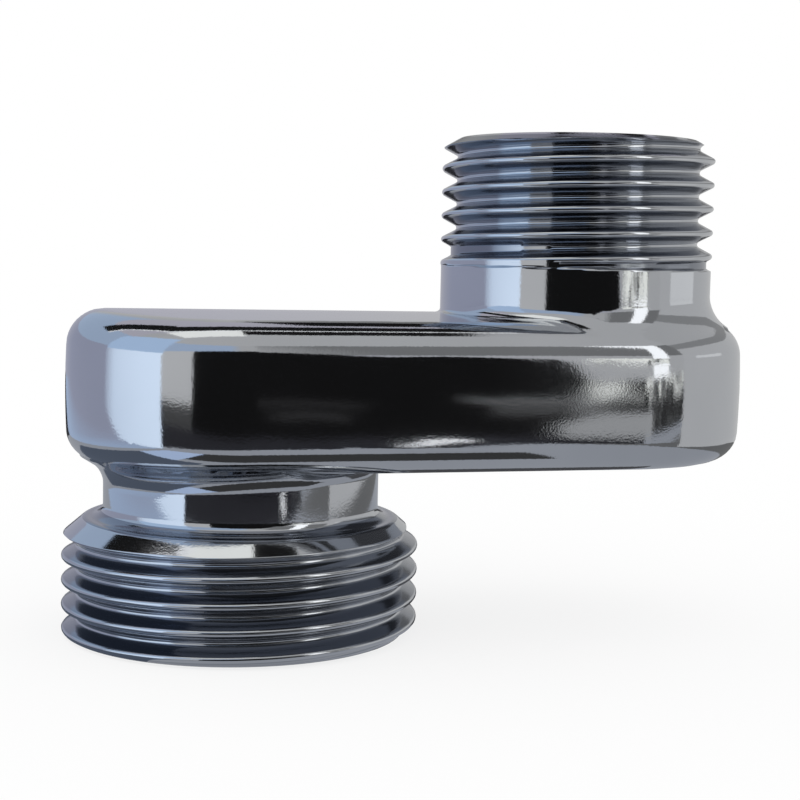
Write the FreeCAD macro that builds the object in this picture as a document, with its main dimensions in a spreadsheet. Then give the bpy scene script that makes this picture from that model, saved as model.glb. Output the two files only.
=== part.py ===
import FreeCAD, Part
import math
import os
import Sketcher
from FreeCAD import Placement, Rotation, Vector

# Eccentric union for a wall-mounted bath or shower mixer: one chromed brass casting,
# hollow from end to end, with a stub for a pipe thread on each side of a short bar.
# The stubs are blanks of the threads' major diameters, without their fine helices.
# Frame: millimetres, +Z up. The origin is the middle of the outlet's end face.
# The two stub axes are parallel to Z, and +X points from the outlet to the inlet.

NODE = "fitting_body"

# The driving dimensions, in millimetres, and in degrees for the two slopes
DIMENSIONS = {
    # Between the outlet's axis and the inlet's
    "axis_offset": 26.0,
    # The bar, seen from above, has straight sides and a round end past each axis. Its
    # sides stand a step out past the inlet's collar
    "bar_side_step": 1.57,
    "bar_height": 10.65,
    "bar_reach_past_outlet": 13.0,
    "bar_reach_past_inlet": 13.05,
    "bar_top_edge_radius": 2.5,
    "bar_bottom_edge_radius": 2.1,
    # The outlet stub, from its end face up to the underside of the bar. Its neck has a
    # sloping foot on the flange that the bevel leaves
    "outlet_stub_length": 12.85,
    "outlet_thread_major": 26.441,
    "outlet_thread_length": 7.3,
    "outlet_lead_in": 0.6,
    "outlet_bevel_height": 1.3,
    "outlet_bevel_top_diameter": 23.4,
    "outlet_foot_height": 0.75,
    "outlet_foot_width": 0.75,
    "outlet_neck_diameter": 20.4,
    # The inlet stub, from the top of the bar up to its end face. Its collar has a small
    # sloping foot on the bar
    "inlet_stub_length": 13.7,
    "inlet_collar_diameter": 20.86,
    "inlet_foot_height": 0.7,
    "inlet_foot_width": 0.3,
    "inlet_thread_length": 10.1,
    "inlet_thread_major": 20.955,
    "inlet_lead_in_width": 1.3,
    "inlet_lead_in_height": 0.55,
    # Each end of the bar slopes up to the stub it carries. The slope leaves
    # the bar's rounded edge from just under its surface and ends inside the stub
    "outlet_shoulder_slope": 32.0,
    "outlet_shoulder_width": 2.0,
    "inlet_shoulder_slope": 37.0,
    "inlet_shoulder_width": 1.8,
    "shoulder_sink": 0.03,
    # The waterway: a bore in each stub, and a cored chamber in the bar
    "outlet_bore_diameter": 16.0,
    "inlet_bore_diameter": 14.0,
    "bore_mouth_chamfer": 0.4,
    "chamber_side_wall": 2.8,
    "chamber_floor_wall": 2.4,
}

# Expressions in the sheet's names, used more than once
BAR_HALF_WIDTH = "(dim.inlet_collar_diameter / 2 + dim.bar_side_step)"
LEFT_CENTRE = f"({BAR_HALF_WIDTH} - dim.bar_reach_past_outlet)"
RIGHT_CENTRE = f"(dim.axis_offset + dim.bar_reach_past_inlet - {BAR_HALF_WIDTH})"
BAR_BOTTOM = "dim.outlet_stub_length"
BAR_TOP = "(dim.outlet_stub_length + dim.bar_height)"
INLET_FACE = "(dim.outlet_stub_length + dim.bar_height + dim.inlet_stub_length)"
CHAMBER_FLOOR = "(dim.outlet_stub_length + dim.chamber_floor_wall)"
CHAMBER_HEIGHT = "(dim.bar_height - 2 * dim.chamber_floor_wall)"
# Two points this close count as one
TOUCH = 1e-4


def make_sheet(doc):
    """Writes each driving dimension in a cell, with its name as the cell's alias."""
    sheet = doc.addObject("Spreadsheet::Sheet", "dim")
    for row, (name, value) in enumerate(DIMENSIONS.items(), start=1):
        sheet.set(f"A{row}", name)
        sheet.set(f"B{row}", str(value))
        sheet.setAlias(f"B{row}", name)
    doc.recompute()
    return sheet


def value(body, expression):
    """What an expression of the sheet's names comes to, in millimetres or plain."""
    result = body.evalExpression(expression)
    return float(getattr(result, "Value", result))


def place_sketch(body, name, role, offsets):
    """A sketch on one of the body's origin planes, shifted by expressions in its own axes."""
    plane = next(item for item in body.Origin.OriginFeatures if item.Role == role)
    sketch = body.newObject("Sketcher::SketchObject", name)
    sketch.AttachmentSupport = [(plane, "")]
    sketch.MapMode = "FlatFace"
    for axis, expression in offsets.items():
        sketch.setExpression(f"AttachmentOffset.Base.{axis}", expression)
    return sketch


def fix_point(sketch, curve, end, x_text, y_text):
    """Ties one end or centre of a curve to expressions, measured from the sketch's origin."""
    body = sketch.getParentGeoFeatureGroup()
    for kind, text in (("DistanceX", x_text), ("DistanceY", y_text)):
        if text is None:
            continue
        datum = Sketcher.Constraint(kind, -1, 1, curve, end, value(body, text))
        index = sketch.addConstraint(datum)
        sketch.setExpression(f"Constraints[{index}]", text)


def polygon_sketch(body, name, role, offsets, corners):
    """A closed outline of straight lines through corners given as pairs of expressions."""
    sketch = place_sketch(body, name, role, offsets)
    spots = [Vector(value(body, x), value(body, y), 0) for x, y in corners]
    for here, there in zip(spots, spots[1:] + spots[:1]):
        sketch.addGeometry(Part.LineSegment(here, there))
    for side, (x_text, y_text) in enumerate(corners):
        before = (side - 1) % len(corners)
        sketch.addConstraint(Sketcher.Constraint("Coincident", before, 2, side, 1))
        fix_point(sketch, side, 1, x_text, y_text)
    return sketch


def slot_sketch(body, name, height, left_centre, right_centre, radius):
    """Two straight sides and two half-round ends, in a level plane at a given height."""
    sketch = place_sketch(body, name, "XY_Plane", {"z": height})
    left, right = value(body, left_centre), value(body, right_centre)
    half = value(body, radius)
    up = Vector(0, 0, 1)
    quarter = math.pi / 2
    sketch.addGeometry(Part.LineSegment(Vector(left, -half, 0), Vector(right, -half, 0)))
    right_end = Part.Circle(Vector(right, 0, 0), up, half)
    sketch.addGeometry(Part.ArcOfCircle(right_end, -quarter, quarter))
    sketch.addGeometry(Part.LineSegment(Vector(right, half, 0), Vector(left, half, 0)))
    left_end = Part.Circle(Vector(left, 0, 0), up, half)
    sketch.addGeometry(Part.ArcOfCircle(left_end, quarter, 3 * quarter))
    for before, after in ((0, 1), (1, 2), (2, 3), (3, 0)):
        sketch.addConstraint(Sketcher.Constraint("Coincident", before, 2, after, 1))
    fix_point(sketch, 0, 1, left_centre, f"-1 * {radius}")
    fix_point(sketch, 0, 2, right_centre, f"-1 * {radius}")
    fix_point(sketch, 2, 1, right_centre, radius)
    fix_point(sketch, 2, 2, left_centre, radius)
    fix_point(sketch, 1, 3, right_centre, None)
    fix_point(sketch, 3, 3, left_centre, None)
    return sketch


def add_feature(body, kind, name, settings, bound=None):
    """Adds one PartDesign feature, with plain settings and sizes bound to the sheet."""
    feature = body.newObject(f"PartDesign::{kind}", name)
    for key, setting in settings.items():
        setattr(feature, key, setting)
    for key, expression in (bound or {}).items():
        feature.setExpression(key, expression)
    body.Document.recompute()
    return feature


def turn(body, name, axis_x, corners):
    """A solid of revolution about an upright axis, from the corners of half its section."""
    profile = polygon_sketch(body, f"{name}Profile", "XZ_Plane", {"x": axis_x}, corners)
    settings = {"Profile": profile, "ReferenceAxis": (profile, ["V_Axis"]), "Angle": 360}
    return add_feature(body, "Revolution", name, settings)


def edges_where(feature, test):
    """Names of the edges whose sampled points all pass a test."""
    names = []
    for number, edge in enumerate(feature.Shape.Edges, start=1):
        first, last = edge.ParameterRange
        samples = [edge.valueAt(first + (last - first) * step / 8) for step in range(9)]
        if all(test(point) for point in samples):
            names.append(f"Edge{number}")
    return names


def on_circle(body, x_expression, radius_expression, low, high):
    """A test for points on an upright cylinder, between two heights."""
    centre, radius = value(body, x_expression), value(body, radius_expression)
    bottom, top = value(body, low), value(body, high)

    def test(point):
        reach = math.hypot(point.x - centre, point.y)
        return abs(reach - radius) < TOUCH and bottom - TOUCH < point.z < top + TOUCH

    return test


def at_height(body, expression):
    """A test for points at one height."""
    height = value(body, expression)
    return lambda point: abs(point.z - height) < TOUCH


def make_bar(body):
    """The bar that carries both stubs: a slot-shaped block with every edge rounded."""
    plan = slot_sketch(body, "BarPlan", BAR_BOTTOM, LEFT_CENTRE, RIGHT_CENTRE, BAR_HALF_WIDTH)
    bar = add_feature(body, "Pad", "Bar", {"Profile": plan}, {"Length": "dim.bar_height"})
    for name, level, radius in (
        ("BarTopEdge", BAR_TOP, "dim.bar_top_edge_radius"),
        ("BarBottomEdge", BAR_BOTTOM, "dim.bar_bottom_edge_radius"),
    ):
        rim = edges_where(bar, at_height(body, level))
        bar = add_feature(body, "Fillet", name, {"Base": (bar, rim)}, {"Radius": radius})
    return bar


def make_outlet_stub(body):
    """The outlet stub, turned in one profile: lead-in, thread blank, bevel, foot and neck."""
    rim = "(dim.outlet_thread_major / 2)"
    neck = "(dim.outlet_neck_diameter / 2)"
    bevel_top = "(dim.outlet_thread_length + dim.outlet_bevel_height)"
    inside_bar = f"({BAR_BOTTOM} + dim.bar_height / 2)"
    corners = [
        ("0", "0"),
        (f"{rim} - dim.outlet_lead_in", "0"),
        (rim, "dim.outlet_lead_in"),
        (rim, "dim.outlet_thread_length"),
        ("dim.outlet_bevel_top_diameter / 2", bevel_top),
        (f"{neck} + dim.outlet_foot_width", bevel_top),
        (neck, f"{bevel_top} + dim.outlet_foot_height"),
        (neck, inside_bar),
        ("0", inside_bar),
    ]
    return turn(body, "Outlet", "0", corners)


def make_inlet_stub(body):
    """The inlet stub, turned in one profile: foot, plain collar, thread blank and lead-in."""
    rim = "(dim.inlet_thread_major / 2)"
    collar = "(dim.inlet_collar_diameter / 2)"
    collar_top = f"({INLET_FACE} - dim.inlet_thread_length)"
    inside_bar = f"({BAR_TOP} - dim.bar_height / 2)"
    corners = [
        ("0", inside_bar),
        (f"{collar} + dim.inlet_foot_width", inside_bar),
        (f"{collar} + dim.inlet_foot_width", BAR_TOP),
        (collar, f"{BAR_TOP} + dim.inlet_foot_height"),
        (collar, collar_top),
        (rim, collar_top),
        (rim, f"{INLET_FACE} - dim.inlet_lead_in_height"),
        (f"{rim} - dim.inlet_lead_in_width", INLET_FACE),
        ("0", INLET_FACE),
    ]
    return turn(body, "Inlet", "dim.axis_offset", corners)


def slope_ends(body):
    """A cone about each round end of the bar, which carries its rounded edge on up to the
    far side of the stub. The stub hides the rest of the cone."""
    middle = f"({BAR_BOTTOM} + dim.bar_height / 2)"
    ends = (
        ("OutletShoulder", LEFT_CENTRE, "dim.bar_bottom_edge_radius", BAR_BOTTOM, "+", "-",
         "dim.outlet_shoulder_slope", "dim.outlet_shoulder_width"),
        ("InletShoulder", RIGHT_CENTRE, "dim.bar_top_edge_radius", BAR_TOP, "-", "+",
         "dim.inlet_shoulder_slope", "dim.inlet_shoulder_width"),
    )
    for name, centre, edge, level, inward, outward, slope, width in ends:
        foot = f"({BAR_HALF_WIDTH} - {edge} + ({edge} - dim.shoulder_sink) * sin({slope} * 1deg))"
        foot_level = (
            f"({level} {inward} {edge} {outward} ({edge} - dim.shoulder_sink)"
            f" * cos({slope} * 1deg))"
        )
        end_level = f"({foot_level} {outward} {width} * tan({slope} * 1deg))"
        corners = [
            ("0", middle),
            (foot, foot_level),
            (f"({foot} - {width})", end_level),
            ("0", end_level),
        ]
        solid = turn(body, name, centre, corners)
    return solid


def core_chamber(body):
    """The chamber in the bar that joins the two bores, with the same plan as the bar."""
    roof = f"{CHAMBER_FLOOR} + {CHAMBER_HEIGHT}"
    half = f"({BAR_HALF_WIDTH} - dim.chamber_side_wall)"
    plan = slot_sketch(body, "ChamberPlan", roof, LEFT_CENTRE, RIGHT_CENTRE, half)
    return add_feature(body, "Pocket", "Chamber", {"Profile": plan}, {"Length": CHAMBER_HEIGHT})


def circle_sketch(body, name, offsets, radius):
    """A circle about a stub's axis, in a level plane."""
    sketch = place_sketch(body, name, "XY_Plane", offsets)
    circle = Part.Circle(Vector(0, 0, 0), Vector(0, 0, 1), value(body, radius))
    sketch.addGeometry(circle)
    sketch.addConstraint(Sketcher.Constraint("Coincident", 0, 3, -1, 1))
    index = sketch.addConstraint(Sketcher.Constraint("Radius", 0, value(body, radius)))
    sketch.setExpression(f"Constraints[{index}]", radius)
    return sketch


def bore_stubs(body, solid):
    """A straight bore from each end face into the chamber, with a small chamfer at its mouth."""
    to_middle = f"({CHAMBER_FLOOR} + {CHAMBER_HEIGHT} / 2)"
    bores = (
        ("Outlet", {"z": "0"}, "0", "dim.outlet_bore_diameter / 2", "0", to_middle, True),
        ("Inlet", {"x": "dim.axis_offset", "z": INLET_FACE}, "dim.axis_offset",
         "dim.inlet_bore_diameter / 2", INLET_FACE, f"{INLET_FACE} - {to_middle}", False),
    )
    for side, offsets, centre, radius, face, depth, upward in bores:
        circle = circle_sketch(body, f"{side}BoreCircle", offsets, radius)
        solid = add_feature(
            body, "Pocket", f"{side}Bore", {"Profile": circle, "Reversed": upward},
            {"Length": depth},
        )
        mouth = edges_where(solid, on_circle(body, centre, radius, face, face))
        solid = add_feature(
            body, "Chamfer", f"{side}BoreMouth", {"Base": (solid, mouth)},
            {"Size": "dim.bore_mouth_chamfer"},
        )
    return solid


def make_fitting(doc):
    """The whole casting: bar, stubs, shoulders and waterway, in that order."""
    body = doc.addObject("PartDesign::Body", "FittingBody")
    body.Label = NODE
    body.Placement = Placement(Vector(0, 0, 0), Rotation())
    doc.recompute()
    make_bar(body)
    make_outlet_stub(body)
    make_inlet_stub(body)
    slope_ends(body)
    body.Tip = bore_stubs(body, core_chamber(body))
    doc.recompute()
    return body


def check(doc, bodies):
    """Stops the build if any object failed, or a sub-part's shape isn't one sound solid."""
    for item in doc.Objects:
        if {"Invalid", "Error"} & set(item.State):
            raise RuntimeError(f"{item.Name} is {item.State}")
    for body in bodies:
        shape = body.Shape
        if shape.isNull() or not shape.isValid() or len(shape.Solids) != 1:
            raise RuntimeError(f"{body.Label} is not one valid solid")


def main():
    doc = FreeCAD.newDocument("EccentricFitting")
    make_sheet(doc)
    bodies = [make_fitting(doc)]
    check(doc, bodies)
    os.makedirs("parts", exist_ok=True)
    for body in bodies:
        body.Shape.exportStep(f"parts/{body.Label}.step")


main()
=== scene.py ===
import math

import bpy
import numpy as np
from mathutils import Matrix, Vector


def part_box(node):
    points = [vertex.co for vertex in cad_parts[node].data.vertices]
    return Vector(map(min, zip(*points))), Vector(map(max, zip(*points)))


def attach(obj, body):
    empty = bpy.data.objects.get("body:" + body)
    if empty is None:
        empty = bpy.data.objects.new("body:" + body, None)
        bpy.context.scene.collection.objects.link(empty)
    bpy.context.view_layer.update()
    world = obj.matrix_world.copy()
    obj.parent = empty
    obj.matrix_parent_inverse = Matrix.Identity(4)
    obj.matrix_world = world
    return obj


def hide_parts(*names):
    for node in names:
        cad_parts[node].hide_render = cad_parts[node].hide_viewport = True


# Looks for the eccentric fitting. The solid in the frame carries plain stubs and sloping
# shoulders; here one finer skin of the same size takes its place, with both pipe threads
# cut, the cast roots hollowed and the top crowned. Cards stand and lie round it for the
# chrome to mirror. Their places and shades were chosen so that it shows about what it shows
# in the photo.
# Shapes are worked out in millimetres in the row's frame and stored in metres.

MM = 0.001
TINY = 1e-12
NODE = "fitting_body"

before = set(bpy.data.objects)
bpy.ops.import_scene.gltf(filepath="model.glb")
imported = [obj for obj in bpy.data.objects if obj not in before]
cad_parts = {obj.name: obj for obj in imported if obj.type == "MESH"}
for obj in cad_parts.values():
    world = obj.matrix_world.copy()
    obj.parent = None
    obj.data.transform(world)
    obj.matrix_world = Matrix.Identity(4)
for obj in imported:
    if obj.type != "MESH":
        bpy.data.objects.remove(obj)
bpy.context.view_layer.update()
far_corner = np.array(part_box(NODE)[1]) / MM

# Sizes of the bar and the stubs, in millimetres
AXIS_OFFSET = 26.0
BAR_HALF_WIDTH = 12.0
BAR_REACH = far_corner[0] - AXIS_OFFSET
BAR_BOTTOM = 12.85
BAR_TOP = 23.5
BAR_MIDDLE = (BAR_BOTTOM + BAR_TOP) / 2
LEFT_REACH = 12.95
WALL_BULGE = 0.22
TOP_CROWN = 0.34
CROWN_SOFTNESS = 2.5
CROWN_REACH = 9.5
TOP_EDGE_RADIUS = 2.5
BOTTOM_EDGE_RADIUS = 2.1
LEFT_CENTRE = BAR_HALF_WIDTH - LEFT_REACH
RIGHT_CENTRE = AXIS_OFFSET + BAR_REACH - BAR_HALF_WIDTH
INLET_FACE = far_corner[2]
COLLAR_RADIUS = 10.43
NECK_RADIUS = 10.2

# Each end of the bar slopes to its stub, and a hollow corner joins them. The corner is
# almost sharp on the inner side, where the stub stands on the bar's flat face
INLET_SLOPE = math.radians(37.0)
OUTLET_SLOPE = math.radians(32.0)
INLET_HOLLOW = 1.05
OUTLET_HOLLOW = 0.85
SHARP_HOLLOW = 0.3
SHARP_TURN = math.radians(165)
FULL_TURN = math.radians(140)

# The flange above the outlet's thread, from its bevel in to the foot of the neck
FLANGE_TOP = 8.6
FLANGE_EDGE_START = 11.31
FLANGE_EDGE_RADIUS = 0.8
BEVEL_SLOPE = math.radians(40.4)
FOOT_RADIUS = 0.95

OUTLET_BORE_RADIUS = 8.0
INLET_BORE_RADIUS = 7.0
MOUTH_CHAMFER = 0.4
CHAMBER_FLOOR = 15.25
CHAMBER_ROOF = 21.1
CHAMBER_WALL = 2.8
CHAMBER_EDGE_RADIUS = 1.6

# Both threads have the same Whitworth form: a parallel pipe thread, 14 turns to the inch.
# Their major sizes are radii
PITCH = 1.814
FLANK_ANGLE = math.radians(27.5)
THREAD_DEPTH = 0.640327 * PITCH
THREAD_ROUNDING = 0.137329 * PITCH
OUTLET_MAJOR = 13.2205
INLET_MAJOR = 10.4775
# Heights of one groove's middle on the +X side of each stub
OUTLET_ROOT = 5.747
INLET_ROOT = 34.958
# Below its last full turn the inlet's groove keeps its flanks, but its floor rises: turns
# from the +X side, and the share of the depth left there
LAST_FULL_ROOT = INLET_ROOT - 3 * PITCH
RUN_OUT_TURNS = (-1.335, -1.31, -1.0, -0.5, -0.33)
RUN_OUT_DEPTHS = (0.0, 0.22, 0.4, 0.7, 1.0)
OUTLET_LEAD_IN = 0.3
OUTLET_THREAD_TOP = 7.3
INLET_LEAD_IN_WIDTH = 1.3
INLET_LEAD_IN_HEIGHT = 0.75
# Where the inlet's plain collar ends, and over what height it widens to the thread
COLLAR_TOP = 27.35
RUN_OUT_STEP = 0.2
EDGE_BLEND = 0.12

# The photo's camera, fitted to the thread crests and the outline: turns are the yaw from
# +Y towards +X, the pitch and the roll, in degrees
PHOTO_WIDTH = 800
FOCAL_PIXELS = 1633.38
SENSOR_WIDTH = 36.0
CAMERA_PLACE = (-20.035, -119.939, 28.331)
CAMERA_TURNS = (15.0077, -5.1647, -1.1932)

# How finely the skin is laid out
BAR_COLUMNS = 400
BAR_ROWS_ABOVE = 38
BAR_ROWS_BELOW = 32
STUB_COLUMNS = 288
ROWS_PER_TURN = 16
ROW_CROWDING = 0.10
FLANGE_EDGE_STEPS = 6
FOOT_STEPS = 10
CHAMBER_EDGE_STEPS = 7
# Rays that find the bar's skin: how far inside the stub they start, how long they are, how
# many there are in a column, and how often each one is halved
RAY_INSET = 2.2
RAY_REACH = 60.0
FINE_ROWS = 900
HALVINGS = 44
# Rows are shared out by length and by how much the skin turns, smoothed over some rows
LENGTH_WEIGHT = 0.10
LEAST_WEIGHT = 1e-4
SMOOTH_ROWS = 25
# Heights of the rings where the bar's skin gives way to the stubs', and the gap laced there
COLLAR_RING = 25.85
NECK_RING = 10.9
LACE_GAP = 0.25
# Short steps for finding which way a surface faces, and how near two points weld together
SLOPE_STEP = 1e-3
NUDGE = 1e-4
TOUCH = 1e-5

# The chrome's colours, and the darker one, painted shade on the threads' flanks, the flange's
# flat and the neck's foot. All three were chosen so that the render's tones come near the photo's
CHROME_DARK = (0.58, 0.60, 0.63)
CHROME_LIGHT = (0.63, 0.65, 0.68)
PAINTED_SHADE_COLOUR = (0.28, 0.30, 0.34)
# Roughness, and what the uneven polish, the grain and the darker places add to it
POLISH = 0.03
PATCH_ROUGHNESS = 0.05
GRAIN_ROUGHNESS = 0.03
FLANK_ROUGHNESS = 0.06
# How fine each unevenness is, in features to the metre, and its bumps' depth in millimetres
PATCH_SCALE = 90.0
WAVE_SCALE = 170.0
GRAIN_SCALE = 6500.0
LATHE_SCALE = (60.0, 60.0, 5200.0)
WAVE_DEPTH = 0.06
GRAIN_DEPTH = 0.004
LATHE_DEPTH = 0.012
# Room left above or below a zone of the surface and round a stub, and how far above the
# flange's flat the painted shade reaches
ZONE_ROOM = 0.1
STUB_ROOM = 0.3
FOOT_ZONE = 0.45
# Shares of the thread's depth between which its flanks lie: the edge at the crest starts and
# ends, then the one at the root. A little of the painted shade stays in the root
CREST_EDGE = (0.05, 0.15)
ROOT_EDGE = (0.86, 0.95)
ROOT_SHARE = 0.1

# The cards round the object. The tent is a ring of walls, in three bands, under a flat sky
TENT_MIDDLE = 13.0
TENT_RADIUS = 260.0
TENT_SIDES = 48
TENT_LEVELS = (-200, -20, 85, 260)
SKY_REACH = 300
SKY_LEVEL = 250
STRIP_LEVEL = 200
LAMP_LEVEL = 199
RIM_LEVEL = 198
CARD_FOOT = -60
FRONT_FOOT = -90
FRONT_LINE = -90
MARK_LINE = -89.5
# The right card's plan, and the heights where its shade changes
RIGHT_PLAN = ((60, -32), (84, 20), (90, 80))
RIGHT_LEVELS = (CARD_FOOT, 42, 54, 90)
# Cards on the floor lie in layers
TABLE_LAYER = 0.02
TABLE_BACK = 90
# The floor: how far it reaches, and the share of plain white where it is seen or mirrored
FLOOR_REACH = 2000.0
FLOOR_WHITENESS = 0.8

LAVENDER = (0.37, 0.39, 0.50)
DUSTY_BLUE = (0.42, 0.52, 0.68)
BLACK = (0.01, 0.01, 0.01)
WHITE = (1.1, 1.1, 1.1)


def shade(value):
    """A neutral colour."""
    return (value, value, value)


def unit(vectors):
    """Vectors brought to length one."""
    return vectors / np.maximum(np.linalg.norm(vectors, axis=-1, keepdims=True), TINY)


def bar_outline(columns):
    """Points and outward normals evenly spaced round the bar's plan, from the +X end."""
    straight = RIGHT_CENTRE - LEFT_CENTRE
    arc = math.pi * BAR_HALF_WIDTH
    length = 2 * (straight + arc)
    along = (np.arange(columns) / columns * length) % length
    points = np.zeros((columns, 2))
    normals = np.zeros((columns, 2))
    for i, s in enumerate(along):
        if s < arc / 2 or s > length - arc / 2:
            turn = s / BAR_HALF_WIDTH if s < arc / 2 else (s - length) / BAR_HALF_WIDTH
            centre = RIGHT_CENTRE
        elif s < arc / 2 + straight:
            normals[i] = (0, 1)
            points[i] = (RIGHT_CENTRE - (s - arc / 2), BAR_HALF_WIDTH)
            continue
        elif s < arc * 1.5 + straight:
            turn = math.pi / 2 + (s - arc / 2 - straight) / BAR_HALF_WIDTH
            centre = LEFT_CENTRE
        else:
            normals[i] = (0, -1)
            points[i] = (LEFT_CENTRE + (s - arc * 1.5 - straight), -BAR_HALF_WIDTH)
            continue
        normals[i] = (math.cos(turn), math.sin(turn))
        points[i] = (centre + BAR_HALF_WIDTH * normals[i][0], BAR_HALF_WIDTH * normals[i][1])
    return points, normals


def bar_distance(points):
    """How far points are outside the bar. Its long edges are rounded, its sides are a little
    fuller at mid-height, and its top is crowned from its free end up to the collar."""
    across = points[..., 0] - np.clip(points[..., 0], LEFT_CENTRE, RIGHT_CENTRE)
    half_height = (BAR_TOP - BAR_BOTTOM) / 2
    level = np.abs(points[..., 2] - BAR_MIDDLE)
    side = np.hypot(across, points[..., 1]) - BAR_HALF_WIDTH
    side = side + WALL_BULGE * np.minimum(level / half_height, 1) ** 2
    end = level - half_height
    fall = np.hypot(points[..., 1], CROWN_SOFTNESS) - CROWN_SOFTNESS
    fall = fall / (math.hypot(CROWN_REACH, CROWN_SOFTNESS) - CROWN_SOFTNESS)
    share = smooth_share((AXIS_OFFSET - points[..., 0]) / COLLAR_RADIUS)
    crown = TOP_CROWN * share * np.maximum(1 - fall, 0)
    end = end - np.where(points[..., 2] > BAR_MIDDLE, crown, 0)
    radius = np.where(points[..., 2] > BAR_MIDDLE, TOP_EDGE_RADIUS, BOTTOM_EDGE_RADIUS)
    side = side + radius
    end = end + radius
    outside = np.hypot(np.maximum(side, 0), np.maximum(end, 0))
    return np.minimum(np.maximum(side, end), 0) + outside - radius


def hollow_join(first, second, radius):
    """Two distances joined so that the inner corner between their surfaces is a hollow arc."""
    corner = np.hypot(np.maximum(radius - first, 0), np.maximum(radius - second, 0))
    return np.maximum(radius, np.minimum(first, second)) - corner


def smooth_share(value):
    """Nought to one with a soft start and end."""
    value = np.clip(value, 0, 1)
    return value * value * (3 - 2 * value)


def bar_with_stub(stub_x, stub_radius, end_x, edge, slope, hollow, level, up):
    """The distance outside the bar with one plain stub and its sloping end."""
    foot = BAR_HALF_WIDTH - edge + edge * math.sin(slope)
    foot_level = level - up * edge * (1 - math.cos(slope))

    def distance(points):
        rise = up * (points[..., 2] - foot_level)
        reach = np.hypot(points[..., 0] - end_x, points[..., 1]) - foot
        cone = np.maximum(reach * math.sin(slope) + rise * math.cos(slope), -rise)
        body = np.minimum(bar_distance(points), cone)
        across = points[..., 0] - stub_x
        stub = np.hypot(across, points[..., 1]) - stub_radius
        away = math.copysign(1, end_x - (LEFT_CENTRE + RIGHT_CENTRE) / 2)
        turn = np.abs(np.arctan2(points[..., 1], across * away))
        share = smooth_share((SHARP_TURN - turn) / (SHARP_TURN - FULL_TURN))
        return hollow_join(body, stub, SHARP_HOLLOW + (hollow - SHARP_HOLLOW) * share)

    return distance


def gradient(distance, points):
    """Outward unit normals of the surface where a distance is nought."""
    slopes = []
    for axis in range(3):
        shift = np.zeros(3)
        shift[axis] = SLOPE_STEP
        slopes.append(distance(points + shift) - distance(points - shift))
    return unit(np.stack(slopes, -1))


def meet(distance, origin, direction, reach):
    """Where rays from inside the solid leave it, found by halving."""
    near = np.zeros(direction.shape[:-1])
    far = np.full(direction.shape[:-1], float(reach))
    for _ in range(HALVINGS):
        middle = (near + far) / 2
        inside = distance(origin + direction * middle[..., None]) < 0
        near = np.where(inside, middle, near)
        far = np.where(inside, far, middle)
    return origin + direction * far[..., None]


def spread(positions, weights, count):
    """Places along each row of a table, so that each step holds the same share of weight."""
    total = np.cumsum(weights, axis=1)
    total = np.concatenate([np.zeros((len(total), 1)), total], axis=1)
    wanted = np.linspace(0, 1, count)
    return np.stack([
        np.interp(wanted * row[-1], row, place) for row, place in zip(total, positions)
    ])


def section_grid(distance, stub_x, stub_end, rows):
    """Half the bar's skin: rows from a ring on a stub out and round to the bar's mid-height.

    Each column lies in an upright plane through the stub's axis and a point of the plan.
    """
    outline, _ = bar_outline(BAR_COLUMNS)
    away = outline - np.array([stub_x, 0])
    heading = unit(away)
    up = 1 if stub_end > BAR_MIDDLE else -1
    base_radius = min(COLLAR_RADIUS, NECK_RADIUS) - RAY_INSET
    origin = np.stack([
        stub_x + base_radius * heading[:, 0],
        base_radius * heading[:, 1],
        np.full(BAR_COLUMNS, BAR_MIDDLE),
    ], -1)
    stub_radius = COLLAR_RADIUS if up > 0 else NECK_RADIUS
    steepest = math.atan2(abs(stub_end - BAR_MIDDLE), stub_radius - base_radius)

    def rays(tilt):
        flat = heading[:, None, :] * np.cos(tilt)[..., None]
        return np.concatenate([flat, up * np.sin(tilt)[..., None]], -1)

    tilt = np.linspace(steepest, 0, FINE_ROWS)[None, :].repeat(BAR_COLUMNS, 0)
    found = meet(distance, origin[:, None, :], rays(tilt), RAY_REACH)
    steps = np.linalg.norm(np.diff(found, axis=1), axis=-1)
    bends = gradient(distance, found)
    turns = np.arccos(np.clip((bends[:, 1:] * bends[:, :-1]).sum(-1), -1, 1))
    weights = steps * LENGTH_WEIGHT + turns + LEAST_WEIGHT
    smooth = np.ones(SMOOTH_ROWS) / SMOOTH_ROWS
    weights = np.apply_along_axis(lambda w: np.convolve(w, smooth, "same"), 1, weights)
    chosen = spread(tilt, weights, rows)
    points = meet(distance, origin[:, None, :], rays(chosen), RAY_REACH)
    # the first row is the ring on the stub, and the last one is on the wall at mid-height
    points[:, 0, 2] = stub_end
    points[:, 0, :2] = [stub_x, 0] + heading * stub_radius
    points[:, -1, :2] = outline
    points[:, -1, 2] = BAR_MIDDLE
    return points.transpose(1, 0, 2), gradient(distance, points).transpose(1, 0, 2)


def thread_height(across):
    """The Whitworth form: how far the thread stands out from its root, by the distance
    along the axis from the middle of a groove."""
    half = PITCH / 2
    across = np.abs((across + half) % PITCH - half)
    slope = 1 / math.tan(FLANK_ANGLE)
    arc_end = THREAD_ROUNDING * math.cos(FLANK_ANGLE)
    root = THREAD_ROUNDING - np.sqrt(np.maximum(THREAD_ROUNDING**2 - across**2, 0))
    to_crest = half - across
    crest_arc = np.sqrt(np.maximum(THREAD_ROUNDING**2 - to_crest**2, 0))
    crest = THREAD_DEPTH - THREAD_ROUNDING + crest_arc
    foot = THREAD_ROUNDING * (1 - math.sin(FLANK_ANGLE))
    flank = foot + slope * (across - arc_end)
    return np.where(across < arc_end, root, np.where(to_crest < arc_end, crest, flank))


def soft_min(first, second, blend):
    """The smaller of two values, with the corner between them slightly rounded."""
    near = np.maximum(blend - np.abs(first - second), 0) / blend
    return np.minimum(first, second) - near**2 * blend / 4


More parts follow.
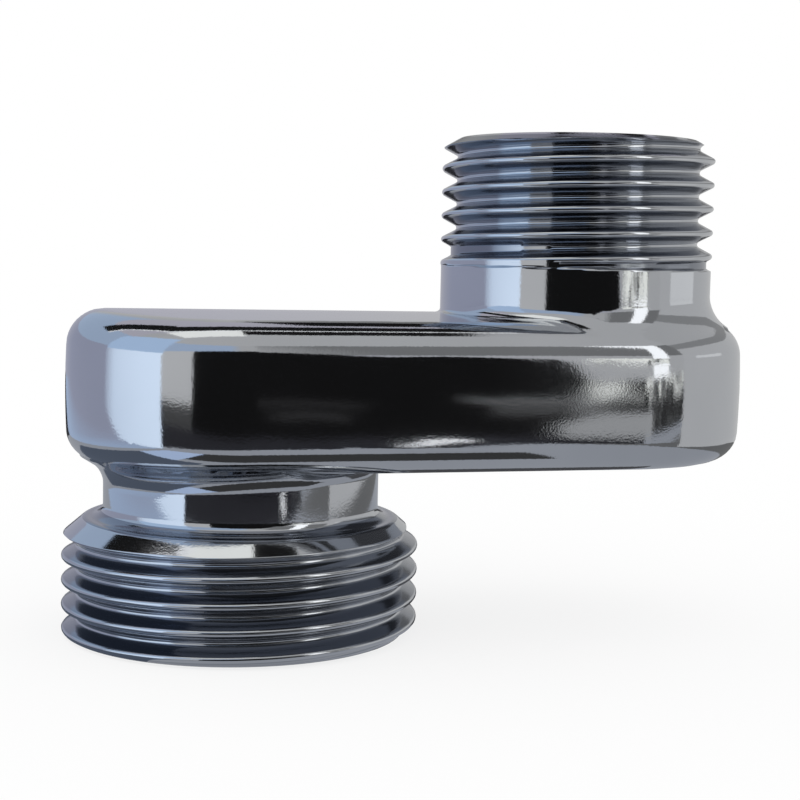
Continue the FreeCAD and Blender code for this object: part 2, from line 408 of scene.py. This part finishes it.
def outlet_radius(angle, z):
    """The outlet stub's radius below its flange's edge: thread, lead-in and bevel."""
    groove = OUTLET_ROOT + PITCH * angle / (2 * np.pi)
    radius = OUTLET_MAJOR - THREAD_DEPTH + thread_height(z - groove)
    edge_radius, edge_level = flange_edge(BEVEL_SLOPE)
    bevel = edge_radius + (edge_level - z) / math.tan(BEVEL_SLOPE)
    radius = soft_min(radius, OUTLET_MAJOR - OUTLET_LEAD_IN + z, EDGE_BLEND)
    return soft_min(radius, bevel, EDGE_BLEND)


def flange_edge(turned):
    """Radius and height on the flange's rounded edge, where it has turned down so far."""
    return (
        FLANGE_EDGE_START + FLANGE_EDGE_RADIUS * math.sin(turned),
        FLANGE_TOP - FLANGE_EDGE_RADIUS * (1 - math.cos(turned)),
    )


def inlet_radius(angle, z):
    """The inlet stub's radius above its plain collar: thread, run-out and lead-in."""
    turn = (z - INLET_ROOT) / PITCH - angle / (2 * np.pi)
    nearest = np.round(turn)
    passed = (INLET_ROOT - LAST_FULL_ROOT) / PITCH + nearest + angle / (2 * np.pi)
    depth = np.interp(passed, RUN_OUT_TURNS, RUN_OUT_DEPTHS)
    floor = INLET_MAJOR - THREAD_DEPTH * depth
    radius = INLET_MAJOR - THREAD_DEPTH + thread_height((turn - nearest) * PITCH)
    radius = np.maximum(radius, floor)
    threaded = smooth_share((z - COLLAR_TOP) / RUN_OUT_STEP)
    radius = COLLAR_RADIUS + (radius - COLLAR_RADIUS) * threaded
    down = (INLET_FACE - z) / INLET_LEAD_IN_HEIGHT
    return soft_min(radius, INLET_MAJOR - INLET_LEAD_IN_WIDTH * (1 - down), EDGE_BLEND)


def stub_skin(radius_at, stub_x, low_z, high_z, root_height):
    """A threaded stub as rows that follow the helix, squeezed flat where they leave it."""
    angle = np.linspace(0, 2 * np.pi, STUB_COLUMNS + 1)
    first = math.floor((low_z - root_height) / PITCH) - 1
    last = math.ceil((high_z - root_height) / PITCH) + 1
    # rows crowd at the groove's root and at the crest, where the surface turns
    share = np.linspace(0, 1, ROWS_PER_TURN, endpoint=False)
    share = share - ROW_CROWDING * np.sin(4 * np.pi * share) / (2 * math.pi)
    turns = (np.arange(first, last)[:, None] + share[None, :]).ravel()
    z = root_height + PITCH * (turns[:, None] + angle[None, :] / (2 * np.pi))
    z = np.clip(z, low_z, high_z)
    spun = angle[None, :].repeat(len(turns), 0)

    def place(angles, heights):
        radius = radius_at(angles, heights)
        return np.stack(
            [stub_x + radius * np.cos(angles), radius * np.sin(angles), heights], -1
        )

    points = place(spun, z)
    inner = np.clip(z, low_z + NUDGE, high_z - NUDGE)
    around = place(spun + NUDGE, inner) - place(spun - NUDGE, inner)
    along = place(spun, inner + NUDGE) - place(spun, inner - NUDGE)
    return points, unit(np.cross(around, along))


class Skin:
    """Gathers patches of faces, each with its own normals, and welds them into one mesh."""

    def __init__(self):
        self.corners = []
        self.normals = []
        self.sizes = []

    def add(self, corners, normals):
        """Faces given as tables of corner points and corner normals."""
        self.corners.append(corners.reshape(-1, 3))
        self.normals.append(normals.reshape(-1, 3))
        self.sizes.append(np.full(corners.shape[0], corners.shape[1]))

    def grid(self, points, normals, closed=True):
        """Rows of points that run round the piece, joined by four-sided faces."""
        if closed:
            points = np.concatenate([points, points[:, :1]], axis=1)
            normals = np.concatenate([normals, normals[:, :1]], axis=1)

        def corners(table):
            return np.stack(
                [table[:-1, :-1], table[:-1, 1:], table[1:, 1:], table[1:, :-1]], axis=2
            ).reshape(-1, 4, 3)

        self.add(corners(points), corners(normals))

    def turned(self, headings, centre_x, profile):
        """A run of rings, each given as radius, height and the normal's two parts."""
        points, normals = [], []
        for radius, z, outward, upward in profile:
            flat = [centre_x, 0] + headings * radius
            level = np.full((len(headings), 1), z)
            points.append(np.concatenate([flat, level], -1))
            rise = np.full((len(headings), 1), upward)
            normals.append(unit(np.concatenate([headings * outward, rise], -1)))
        self.grid(np.array(points), np.array(normals))
        return points[0], points[-1]

    def lace(self, lower, upper, centre_x, normal_at):
        """Joins two rings with different numbers of points by a band of triangles."""

        def bearing(ring):
            return np.arctan2(ring[:, 1], ring[:, 0] - centre_x) % (2 * np.pi)

        low_order, high_order = np.argsort(bearing(lower)), np.argsort(bearing(upper))
        lower, upper = lower[low_order], upper[high_order]
        low_turn = np.append(bearing(lower), bearing(lower)[0] + 2 * np.pi)
        high_turn = np.append(bearing(upper), bearing(upper)[0] + 2 * np.pi)
        i = j = 0
        faces = []
        while i < len(lower) or j < len(upper):
            here = lower[i % len(lower)]
            there = upper[j % len(upper)]
            step_low = j == len(upper) or (i < len(lower) and low_turn[i + 1] <= high_turn[j + 1])
            if step_low:
                faces.append([here, lower[(i + 1) % len(lower)], there])
                i += 1
            else:
                faces.append([here, upper[(j + 1) % len(upper)], there])
                j += 1
        corners = np.array(faces)
        self.add(corners, normal_at(corners))

    def build(self, name):
        """The welded mesh object, in metres."""
        corners = np.concatenate(self.corners)
        normals = np.concatenate(self.normals)
        sizes = np.concatenate(self.sizes)
        keys = np.round(corners / TOUCH).astype(np.int64)
        _, first, index = np.unique(keys, axis=0, return_index=True, return_inverse=True)
        index = index.ravel()
        faces, kept = [], []
        start = 0
        for size in sizes:
            loop = index[start:start + size]
            keep = [k for k in range(size) if loop[k] != loop[k - 1]]
            if len(keep) > 2 and len(set(loop[keep])) == len(keep):
                faces.append([int(loop[k]) for k in keep])
                kept.extend(start + k for k in keep)
            start += size
        mesh = bpy.data.meshes.new(name)
        mesh.from_pydata((corners[first] * MM).tolist(), [], faces)
        mesh.update()
        mesh.shade_smooth()
        mesh.normals_split_custom_set(normals[kept].tolist())
        piece = bpy.data.objects.new(name, mesh)
        bpy.context.scene.collection.objects.link(piece)
        return piece


def outward(centre_x):
    """Normals that point straight out from a stub's axis."""

    def normal_at(corners):
        normals = corners - [centre_x, 0, 0]
        normals = normals * [1, 1, 0]
        return unit(normals)

    return normal_at


def facing(z):
    """Normals that all point straight up or down."""
    return lambda corners: np.zeros_like(corners) + [0, 0, z]


def ring_of(points, centre_x, radius, z):
    """A ring about a stub's axis, with one point in the direction of each given point."""
    heading = unit(points[:, :2] - [centre_x, 0])
    flat = [centre_x, 0] + heading * radius
    return np.concatenate([flat, np.full((len(points), 1), z)], -1)


def make_outside(skin):
    """The bar, both stubs and the flange, and the outer ring of each end face."""
    # The bar's outside, from the collar round to the neck
    upper, upper_normals = section_grid(
        bar_with_stub(AXIS_OFFSET, COLLAR_RADIUS, RIGHT_CENTRE, TOP_EDGE_RADIUS,
                      INLET_SLOPE, INLET_HOLLOW, BAR_TOP, 1),
        AXIS_OFFSET, COLLAR_RING, BAR_ROWS_ABOVE,
    )
    lower, lower_normals = section_grid(
        bar_with_stub(0.0, NECK_RADIUS, LEFT_CENTRE, BOTTOM_EDGE_RADIUS,
                      OUTLET_SLOPE, OUTLET_HOLLOW, BAR_BOTTOM, -1),
        0.0, NECK_RING, BAR_ROWS_BELOW,
    )
    skin.grid(upper[::-1], upper_normals[::-1])
    skin.grid(lower, lower_normals)

    # The inlet stub, laced to the bar at the collar
    points, normals = stub_skin(
        inlet_radius, AXIS_OFFSET, COLLAR_RING + LACE_GAP, INLET_FACE, INLET_ROOT
    )
    skin.grid(points, normals, closed=False)
    inlet_end = points[-1, :-1]
    skin.lace(upper[0], points[0, :-1], AXIS_OFFSET, outward(AXIS_OFFSET))

    # The outlet stub's thread and bevel, then the flange's edge, its flat and the foot
    edge_level = flange_edge(BEVEL_SLOPE)[1]
    points, normals = stub_skin(outlet_radius, 0.0, 0.0, edge_level, OUTLET_ROOT)
    skin.grid(points, normals, closed=False)
    outlet_end = points[0, :-1]
    headings = unit(points[-1, :-1, :2])
    edge = [
        (*flange_edge(turned), math.sin(turned), math.cos(turned))
        for turned in np.linspace(BEVEL_SLOPE, 0, FLANGE_EDGE_STEPS)
    ]
    skin.turned(headings, 0.0, edge)
    foot = []
    for turned in np.linspace(math.pi / 2, 0, FOOT_STEPS):
        foot.append((
            NECK_RADIUS + FOOT_RADIUS * (1 - math.cos(turned)),
            FLANGE_TOP + FOOT_RADIUS * (1 - math.sin(turned)),
            math.cos(turned), math.sin(turned),
        ))
    skin.turned(headings, 0.0, [edge[-1], foot[0]])
    skin.turned(headings, 0.0, foot)
    _, neck_top = skin.turned(
        headings, 0.0, [foot[-1], (NECK_RADIUS, NECK_RING - LACE_GAP, 1.0, 0.0)]
    )
    skin.lace(neck_top, lower[0], 0.0, outward(0.0))
    return outlet_end, inlet_end


def make_inside(skin, outlet_end, inlet_end):
    """The chamber in the bar, and from it a bore to each end face's chamfered mouth."""
    outline, inward = bar_outline(BAR_COLUMNS)
    edge = CHAMBER_EDGE_RADIUS
    places = np.c_[outline, outline[:, 0]]
    rows = [ring_of(places, 0.0, OUTLET_BORE_RADIUS, CHAMBER_FLOOR)]
    slopes = [np.tile([0.0, 0.0, 1.0], (BAR_COLUMNS, 1))]
    bend = np.linspace(0, math.pi / 2, CHAMBER_EDGE_STEPS)
    for level, side in ((CHAMBER_FLOOR + edge, -1), (CHAMBER_ROOF - edge, 1)):
        for t in (bend if side < 0 else bend[::-1]):
            inset = CHAMBER_WALL + edge * (1 - math.sin(t))
            flat = outline - inward * inset
            z = level + side * edge * math.cos(t)
            rows.append(np.c_[flat, np.full(BAR_COLUMNS, z)])
            slopes.append(np.c_[-inward * math.sin(t), np.full(BAR_COLUMNS, -side * math.cos(t))])
    rows.append(ring_of(places, AXIS_OFFSET, INLET_BORE_RADIUS, CHAMBER_ROOF))
    slopes.append(np.tile([0.0, 0.0, -1.0], (BAR_COLUMNS, 1)))
    skin.grid(np.array(rows)[::-1], np.array(slopes)[::-1])

    bores = (
        (rows[0], 0.0, OUTLET_BORE_RADIUS, CHAMBER_FLOOR, 0.0, outlet_end),
        (rows[-1], AXIS_OFFSET, INLET_BORE_RADIUS, CHAMBER_ROOF, INLET_FACE, inlet_end),
    )
    for bore, stub_x, radius, inner, face, rim in bores:
        way = math.copysign(1, face - inner)
        headings = unit(bore[:, :2] - [stub_x, 0])
        bore_wall = [
            (radius, inner, -1.0, 0.0),
            (radius, face - way * MOUTH_CHAMFER, -1.0, 0.0),
        ]
        mouth = [
            (radius, face - way * MOUTH_CHAMFER, -1.0, way),
            (radius + MOUTH_CHAMFER, face, -1.0, way),
        ]
        if way > 0:
            lip = skin.turned(headings, stub_x, mouth[::-1])[0]
            skin.turned(headings, stub_x, bore_wall[::-1])
            skin.lace(rim, lip, stub_x, facing(1))
        else:
            skin.turned(headings, stub_x, bore_wall)
            lip = skin.turned(headings, stub_x, mouth)[1]
            skin.lace(lip, rim, stub_x, facing(-1))


def make_skin():
    """The whole casting's skin, outside and inside, as one closed mesh."""
    skin = Skin()
    outlet_end, inlet_end = make_outside(skin)
    make_inside(skin, outlet_end, inlet_end)
    return skin.build("eccentric_casting")


def make_camera():
    """The view in the photo, fitted to the thread crests and the bar's outline."""
    data = bpy.data.cameras.new("photo_view")
    data.sensor_width = SENSOR_WIDTH
    data.lens = FOCAL_PIXELS * SENSOR_WIDTH / PHOTO_WIDTH
    data.clip_start = 0.005
    data.clip_end = 20.0
    yaw, pitch, roll = (math.radians(turn) for turn in CAMERA_TURNS)
    ahead = Vector((
        math.sin(yaw) * math.cos(pitch), math.cos(yaw) * math.cos(pitch), math.sin(pitch)
    ))
    level = Vector((math.cos(yaw), -math.sin(yaw), 0))
    down = ahead.cross(level)
    right = math.cos(roll) * level + math.sin(roll) * down
    fall = math.cos(roll) * down - math.sin(roll) * level
    camera = bpy.data.objects.new("photo_view", data)
    turn = Matrix((right, -fall, -ahead)).transposed().to_4x4()
    camera.matrix_world = Matrix.Translation(Vector(CAMERA_PLACE) * MM) @ turn
    bpy.context.scene.collection.objects.link(camera)
    bpy.context.scene.camera = camera


def node_at(tree, kind, inputs=(), **settings):
    """A node of one kind, with its settings and the inputs that are given."""
    made = tree.nodes.new(kind)
    for key, setting in settings.items():
        setattr(made, key, setting)
    for key, given in inputs:
        if isinstance(given, bpy.types.NodeSocket):
            tree.links.new(given, made.inputs[key])
        else:
            made.inputs[key].default_value = given
    return made


def calculate(tree, operation, *values, clamp=False):
    """A Math node's result."""
    inputs = list(enumerate(values))
    return node_at(tree, "ShaderNodeMath", inputs, operation=operation, use_clamp=clamp).outputs[0]


def ramp(tree, factor, stops, interpolation="LINEAR"):
    """A colour ramp's result, from stops that are a place and a colour."""
    made = node_at(tree, "ShaderNodeValToRGB", [("Fac", factor)])
    made.color_ramp.interpolation = interpolation
    elements = made.color_ramp.elements
    while len(elements) < len(stops):
        elements.new(1.0)
    for element, (place, colour) in zip(elements, stops):
        element.position = place
        element.color = (*colour, 1.0)
    return made.outputs["Color"]


def noise(tree, place, scale, detail):
    """A noise's value."""
    inputs = [("Vector", place), ("Scale", scale), ("Detail", detail)]
    return node_at(tree, "ShaderNodeTexNoise", inputs).outputs["Fac"]


def bump(tree, height, strength, depth, under=None):
    """The normal that a bump gives, over another bump if there is one."""
    inputs = [("Height", height), ("Strength", strength), ("Distance", depth * MM)]
    if under is not None:
        inputs.append(("Normal", under))
    return node_at(tree, "ShaderNodeBump", inputs).outputs["Normal"]


def between(tree, value, low, high):
    """One where a value is between two others in millimetres, and nought elsewhere."""
    above = calculate(tree, "GREATER_THAN", value, low * MM)
    below = calculate(tree, "LESS_THAN", value, high * MM)
    return calculate(tree, "MULTIPLY", above, below)


def stub_zones(tree, place, stub_x, major, low, high):
    """Where one threaded stub is, and where its thread's flanks are, without the roots and
    the crests."""
    parts = node_at(tree, "ShaderNodeSeparateXYZ", [(0, place)])
    aside = calculate(tree, "SUBTRACT", parts.outputs["X"], stub_x * MM)
    flat = node_at(tree, "ShaderNodeCombineXYZ", [("X", aside), ("Y", parts.outputs["Y"])])
    reach = node_at(tree, "ShaderNodeVectorMath", [(0, flat.outputs[0])],
                    operation="LENGTH").outputs["Value"]
    near = calculate(tree, "LESS_THAN", reach, (major + STUB_ROOM) * MM)
    level = between(tree, parts.outputs["Z"], low + ZONE_ROOM, high)
    stub = calculate(tree, "MULTIPLY", level, near)
    depth = calculate(tree, "SUBTRACT", major * MM, reach)
    share = calculate(tree, "DIVIDE", depth, THREAD_DEPTH * MM)
    band = ramp(tree, share, [
        (CREST_EDGE[0], shade(0)), (CREST_EDGE[1], shade(1)),
        (ROOT_EDGE[0], shade(1)), (ROOT_EDGE[1], shade(ROOT_SHARE)),
    ])
    return stub, calculate(tree, "MULTIPLY", band, stub)


def chrome_material():
    """Bright chrome over a polished casting, turned on both stubs."""
    material = bpy.data.materials.new("chrome_plate")
    material.use_nodes = True
    tree = material.node_tree
    shader = tree.nodes["Principled BSDF"]
    place = node_at(tree, "ShaderNodeTexCoord").outputs["Object"]

    # painted shade darkens the threads' flanks, the flange's flat and the neck's foot, which are
    # rougher too
    inlet, inlet_flank = stub_zones(
        tree, place, AXIS_OFFSET, INLET_MAJOR, COLLAR_TOP, INLET_FACE)
    outlet, outlet_flank = stub_zones(
        tree, place, 0.0, OUTLET_MAJOR, 0.0, OUTLET_THREAD_TOP)
    height = node_at(tree, "ShaderNodeSeparateXYZ", [(0, place)]).outputs["Z"]
    foot = between(tree, height, FLANGE_TOP - ZONE_ROOM, FLANGE_TOP + FOOT_ZONE)
    flanks = calculate(tree, "ADD", inlet_flank, outlet_flank)
    painted_shade_zone = calculate(tree, "MAXIMUM", flanks, foot, clamp=True)

    # the tint and the polish are a little uneven
    patches = noise(tree, place, PATCH_SCALE, 3.0)
    grain = noise(tree, place, GRAIN_SCALE, 2.0)
    tint = ramp(tree, patches, [(0.3, CHROME_DARK), (0.7, CHROME_LIGHT)])
    # the painted shade's colour is mixed in over the uneven tint in that zone
    mix = node_at(tree, "ShaderNodeMix",
                  [(0, painted_shade_zone), (6, tint), (7, (*PAINTED_SHADE_COLOUR, 1.0))], data_type="RGBA")
    polish = calculate(tree, "MULTIPLY_ADD", patches, PATCH_ROUGHNESS, POLISH)
    polish = calculate(tree, "MULTIPLY_ADD", grain, GRAIN_ROUGHNESS, polish)
    polish = calculate(tree, "MULTIPLY_ADD", painted_shade_zone, FLANK_ROUGHNESS, polish)
    tree.links.new(mix.outputs[2], shader.inputs["Base Color"])
    tree.links.new(polish, shader.inputs["Roughness"])
    shader.inputs["Metallic"].default_value = 1

    # polishing leaves the casting gently wavy, and the lathe leaves fine lines on the stubs
    wavy = bump(tree, noise(tree, place, WAVE_SCALE, 1.0), 0.5, WAVE_DEPTH)
    grainy = bump(tree, grain, 0.6, GRAIN_DEPTH, wavy)
    lined = node_at(tree, "ShaderNodeMapping", [("Vector", place), ("Scale", LATHE_SCALE)])
    turned = calculate(tree, "ADD", inlet, outlet, clamp=True)
    lines = calculate(tree, "MULTIPLY", noise(tree, lined.outputs[0], 1.0, 2.0), turned)
    tree.links.new(bump(tree, lines, 0.6, LATHE_DEPTH, grainy), shader.inputs["Normal"])
    return material


def glow(name, paint):
    """A material that only shines, with the colour that paint makes from the place."""
    material = bpy.data.materials.new(name)
    material.use_nodes = True
    tree = material.node_tree
    tree.nodes.clear()
    place = node_at(tree, "ShaderNodeTexCoord").outputs["Object"]
    shine = node_at(tree, "ShaderNodeEmission", [("Color", paint(tree, place))])
    out = node_at(tree, "ShaderNodeOutputMaterial")
    tree.links.new(shine.outputs[0], out.inputs["Surface"])
    return material


def plain(colour):
    """Paint of one colour."""
    return lambda tree, place: (*colour, 1.0)


def fade(axis, low, high, stops):
    """Paint that changes along X, Y or Z, between two places in millimetres."""
    def paint(tree, place):
        parts = node_at(tree, "ShaderNodeSeparateXYZ", [(0, place)])
        share = calculate(tree, "SUBTRACT", parts.outputs[axis], low * MM)
        share = calculate(tree, "DIVIDE", share, (high - low) * MM)
        return ramp(tree, share, stops)
    return paint


def stage_sheet(name, rows, paint):
    """A sheet of four-sided faces that stands about the object and is seen in it only."""
    rows = np.array(rows, float) * MM
    deep, wide = rows.shape[:2]
    faces = [
        (i * wide + j, i * wide + j + 1, (i + 1) * wide + j + 1, (i + 1) * wide + j)
        for i in range(deep - 1) for j in range(wide - 1)
    ]
    mesh = bpy.data.meshes.new(name)
    mesh.from_pydata(rows.reshape(-1, 3).tolist(), [], faces)
    mesh.materials.append(glow(name, paint))
    sheet = bpy.data.objects.new(name, mesh)
    bpy.context.scene.collection.objects.link(sheet)
    sheet.visible_camera = False
    sheet.visible_diffuse = False
    sheet.visible_shadow = False
    return sheet


def standing(name, plan, paint):
    """A standing card: each corner of its plan has x, y, and its low and high edge."""
    feet = [(x, y, low) for x, y, low, _ in plan]
    tops = [(x, y, high) for x, y, _, high in plan]
    stage_sheet(name, [feet, tops], paint)


def wall(name, plan, low, high, paint):
    """A standing card of one height."""
    standing(name, [(x, y, low, high) for x, y in plan], paint)


def lying(name, x_low, x_high, y_low, y_high, z, paint):
    """A card that lies level."""
    near = [(x_low, y_low, z), (x_high, y_low, z)]
    far = [(x_low, y_high, z), (x_high, y_high, z)]
    stage_sheet(name, [near, far], paint)


def room_paint(tree, place):
    """The dim far side of a room: patches in greys, brighter further up."""
    stretch, patch_scale, stain_scale = (1, 1, 0.5), 420.0, 700.0
    dim_level, dim_height, least, most = 5, 12, 0.25, 1.3
    stretched = node_at(tree, "ShaderNodeMapping", [("Vector", place), ("Scale", stretch)])
    patches = node_at(tree, "ShaderNodeTexVoronoi",
                      [("Vector", stretched.outputs[0]), ("Scale", patch_scale)]).outputs["Color"]
    value = node_at(tree, "ShaderNodeSeparateColor", [(0, patches)]).outputs[0]
    mixed = calculate(tree, "MULTIPLY", value, noise(tree, place, stain_scale, 4.0))
    level = node_at(tree, "ShaderNodeSeparateXYZ", [(0, place)]).outputs["Z"]
    lift = calculate(tree, "SUBTRACT", level, dim_level * MM)
    lift = calculate(tree, "DIVIDE", lift, dim_height * MM)
    lift = calculate(tree, "MINIMUM", calculate(tree, "MAXIMUM", lift, least), most)
    return ramp(tree, calculate(tree, "MULTIPLY", mixed, lift),
                [(0.0, shade(0.02)), (0.10, shade(0.05)), (0.17, (0.35, 0.35, 0.34)),
                 (0.32, (1.2, 1.2, 1.12))])


def make_tent():
    """A ring of walls about everything, lavender on the left and grey on the right."""
    turns = np.linspace(0, 2 * math.pi, TENT_SIDES + 1)
    ring = [(TENT_MIDDLE + TENT_RADIUS * math.cos(t), TENT_RADIUS * math.sin(t)) for t in turns]
    foot, floor, seam, top = TENT_LEVELS
    sides = (-120, 200)
    upper = [(0.0, DUSTY_BLUE), (0.25, DUSTY_BLUE), (0.35, shade(0.5)), (0.5, shade(0.5)),
             (0.6, shade(0.22))]
    lower = [(0.0, LAVENDER), (0.45, (0.46, 0.46, 0.52)), (0.75, shade(0.53))]
    wall("tent_upper", ring, seam, top, fade(0, *sides, upper))
    wall("tent_wall", ring, floor, seam, fade(0, *sides, lower))
    wall("tent_foot", ring, foot, floor, plain(shade(0.05)))


def make_sky():
    """A grey sky with a dark strip and its bright edge, and a lamp over the outlet."""
    greys = [(0.0, shade(0.53)), (0.5, shade(0.50)), (0.7, (0.52, 0.50, 0.56))]
    lying("sky", -SKY_REACH, SKY_REACH, -SKY_REACH, SKY_REACH, SKY_LEVEL,
          fade(1, -60, 60, greys))
    # the strip bends: x, and its near and far edge there
    strip = ((-230, 150, 230), (-144, 90, 170), (-80, 22, 110), (-40, 10, 70), (90, 12, 66),
             (240, 20, 60))
    line_width = 9
    near = [(x, y, STRIP_LEVEL) for x, y, _ in strip]
    far = [(x, y, STRIP_LEVEL) for x, _, y in strip]
    stage_sheet("sky_strip", [near, far], plain(BLACK))
    outer = [(x, y - line_width, LAMP_LEVEL) for x, y, _ in strip]
    inner = [(x, y, LAMP_LEVEL) for x, y, _ in strip]
    stage_sheet("sky_line", [outer, inner], plain(WHITE))
    lying("sky_lamp", -92, 12, -60, 8, LAMP_LEVEL, plain((1.1, 1.1, 1.05)))
    lying("sky_shade", 12, 70, -40, 8, LAMP_LEVEL, plain(BLACK))
    lying("back_dark", 45, 135, 95, 260, RIM_LEVEL, plain(BLACK))


def make_left_side():
    """A pale blue panel, with a duller blue above it, and a grey gap beside the dark front."""
    blues = [(0.0, (0.42, 0.46, 0.58)), (0.45, (0.80, 0.93, 1.12)), (1.0, (0.95, 1.10, 1.30))]
    standing("blue_panel", [(-45, -35, CARD_FOOT, 32), (-170, 33, CARD_FOOT, 50)],
             fade(0, -170, -45, blues))
    standing("blue_haze", [(-45, -35.5, 32, 90), (-170, 32.5, 50, 160)],
             plain((0.50, 0.66, 0.90)))
    gap = ((-130, -60), (-59, -90.5))
    gap_foot = 8
    wall("left_gap", gap, gap_foot, 60, plain(shade(0.60)))
    wall("left_gap_foot", gap, CARD_FOOT, gap_foot, plain(shade(0.07)))


def make_front():
    """The dark front with a few faint marks, and the room to its right."""
    tops = ((-59, 60), (10, 60), (18, 52), (28, 34), (36, 38), (46, 30), (54, 17))
    standing("dark_front", [(x, FRONT_LINE, FRONT_FOOT, top) for x, top in tops],
             plain(shade(0.008)))
    # each mark's left, right, bottom and top, and how light it is
    marks = ((41.6, 50.6, 6.7, 10.6, 0.08), (37.7, 51.2, 10.9, 11.25, 0.7),
             (11.6, 25.3, 9.6, 10.3, 0.06), (14.7, 23.3, 5.4, 7.5, 0.04),
             (51.6, 54.0, 6.7, 14.0, 0.22))
    for number, (left, right, bottom, top, light) in enumerate(marks):
        wall(f"front_mark_{number}", [(left, MARK_LINE), (right, MARK_LINE)], bottom, top,
             plain(shade(light)))
    standing("room", [(54, FRONT_LINE, CARD_FOOT, 16.5), (140, -78, CARD_FOOT, 18)], room_paint)
    wall("room_upper", [(54, FRONT_LINE), (96, -84)], 22, 31, room_paint)
    wall("low_streak", [(100, -140), (118, -128)], 2, 14, plain(shade(1.4)))
    standing("right_block", [(49.5, -88.5, CARD_FOOT, 4), (55, -88, CARD_FOOT, 6.8),
                             (70, -85, CARD_FOOT, 8)], plain(shade(0.42)))
    wall("lamp_far", [(104, -146), (132, -124)], CARD_FOOT, 175, plain(shade(1.5)))


def make_right_side():
    """A grey card in three bands, with a lighter patch at the collar's height."""
    names = ("right_card", "right_upper", "right_crown")
    for name, light, low, high in zip(names, (0.56, 0.30, 0.50), RIGHT_LEVELS, RIGHT_LEVELS[1:]):
        wall(name, RIGHT_PLAN, low, high, plain(shade(light)))
    wall("right_patch", [(62.5, -24), (76, 2)], 24, 27.5, plain(shade(0.80)))


def make_table():
    """A grey table in layers, dark far off, painted shade under the bar, and blue on the left."""
    far_layer, table_layer, side_layer, near_layer = (
        TABLE_LAYER * count for count in range(1, 5))
    lying("far_table", -SKY_REACH, SKY_REACH, -SKY_REACH, SKY_REACH, far_layer,
          plain((0.03, 0.03, 0.035)))
    edge = ((-62, -28), (-45, -44), (-15, -54), (20, -58), (50, -62), (62, -86), (150, -100))
    front = [(x, y, table_layer) for x, y in edge]
    back = [(x, TABLE_BACK, table_layer) for x, _ in edge]
    stage_sheet("table", [front, back], plain((0.37, 0.385, 0.42)))
    lying("left_table", -SKY_REACH, -44, -36, SKY_REACH, side_layer,
          fade(0, -110, -60, [(0.0, LAVENDER), (1.0, (0.42, 0.52, 0.70))]))
    inner = [(40, -64, side_layer), (58, -30, side_layer), (60, TABLE_BACK, side_layer)]
    outer = [(SKY_REACH, y, z) for _, y, z in inner]
    stage_sheet("right_table", [inner, outer], plain(shade(0.17)))
    # a dark card under the bar: painted shade of the bar on the table
    lying("shade_under_bar", -8, 36, -3, 40, near_layer, plain((0.08, 0.08, 0.085)))
    lying("left_shade", -34, -8, -14, 30, near_layer, plain((0.10, 0.12, 0.16)))
    lying("near_left", -34, -14, -30, -14, near_layer, plain((0.50, 0.62, 0.85)))
    lying("near_front", -14, 26, -30, -17, near_layer, plain(shade(0.05)))
    lying("table_glint", 28, 34, -82, -70, near_layer, plain(shade(1.2)))


def make_floor():
    """A plain pale floor, which keeps the object's soft shadow."""
    material = bpy.data.materials.new("floor")
    material.use_nodes = True
    tree = material.node_tree
    shader = tree.nodes["Principled BSDF"]
    shader.inputs["Base Color"].default_value = (1, 1, 1, 1)
    shader.inputs["Roughness"].default_value = 1.0
    shader.inputs["Specular IOR Level"].default_value = 0.0
    path = node_at(tree, "ShaderNodeLightPath")
    seen = calculate(tree, "MAXIMUM", path.outputs["Is Camera Ray"], path.outputs["Is Glossy Ray"])
    seen = calculate(tree, "MAXIMUM", seen, path.outputs["Is Transmission Ray"])
    white = node_at(tree, "ShaderNodeEmission", [("Color", (1, 1, 1, 1))])
    both = node_at(tree, "ShaderNodeMixShader",
                   [(0, calculate(tree, "MULTIPLY", seen, FLOOR_WHITENESS)),
                    (1, shader.outputs[0]), (2, white.outputs[0])])
    tree.links.new(both.outputs[0], tree.nodes["Material Output"].inputs["Surface"])
    mesh = bpy.data.meshes.new("floor")
    reach = FLOOR_REACH * MM
    mesh.from_pydata([(-reach, -reach, 0), (reach, -reach, 0), (reach, reach, 0),
                      (-reach, reach, 0)], [], [(0, 1, 2, 3)])
    mesh.materials.append(material)
    floor = bpy.data.objects.new("floor", mesh)
    bpy.context.scene.collection.objects.link(floor)


def make_world():
    """Even white light from all round."""
    world = bpy.data.worlds.new("studio")
    bpy.context.scene.world = world
    world.use_nodes = True
    light = world.node_tree.nodes["Background"]
    light.inputs["Color"].default_value = (1, 1, 1, 1)
    light.inputs["Strength"].default_value = 1


casting = make_skin()
casting.data.materials.append(chrome_material())
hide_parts(NODE)
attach(casting, "root")
make_camera()
make_floor()
make_tent()
make_sky()
make_left_side()
make_front()
make_right_side()
make_table()
make_world()
bpy.context.scene.view_settings.view_transform = "Standard"
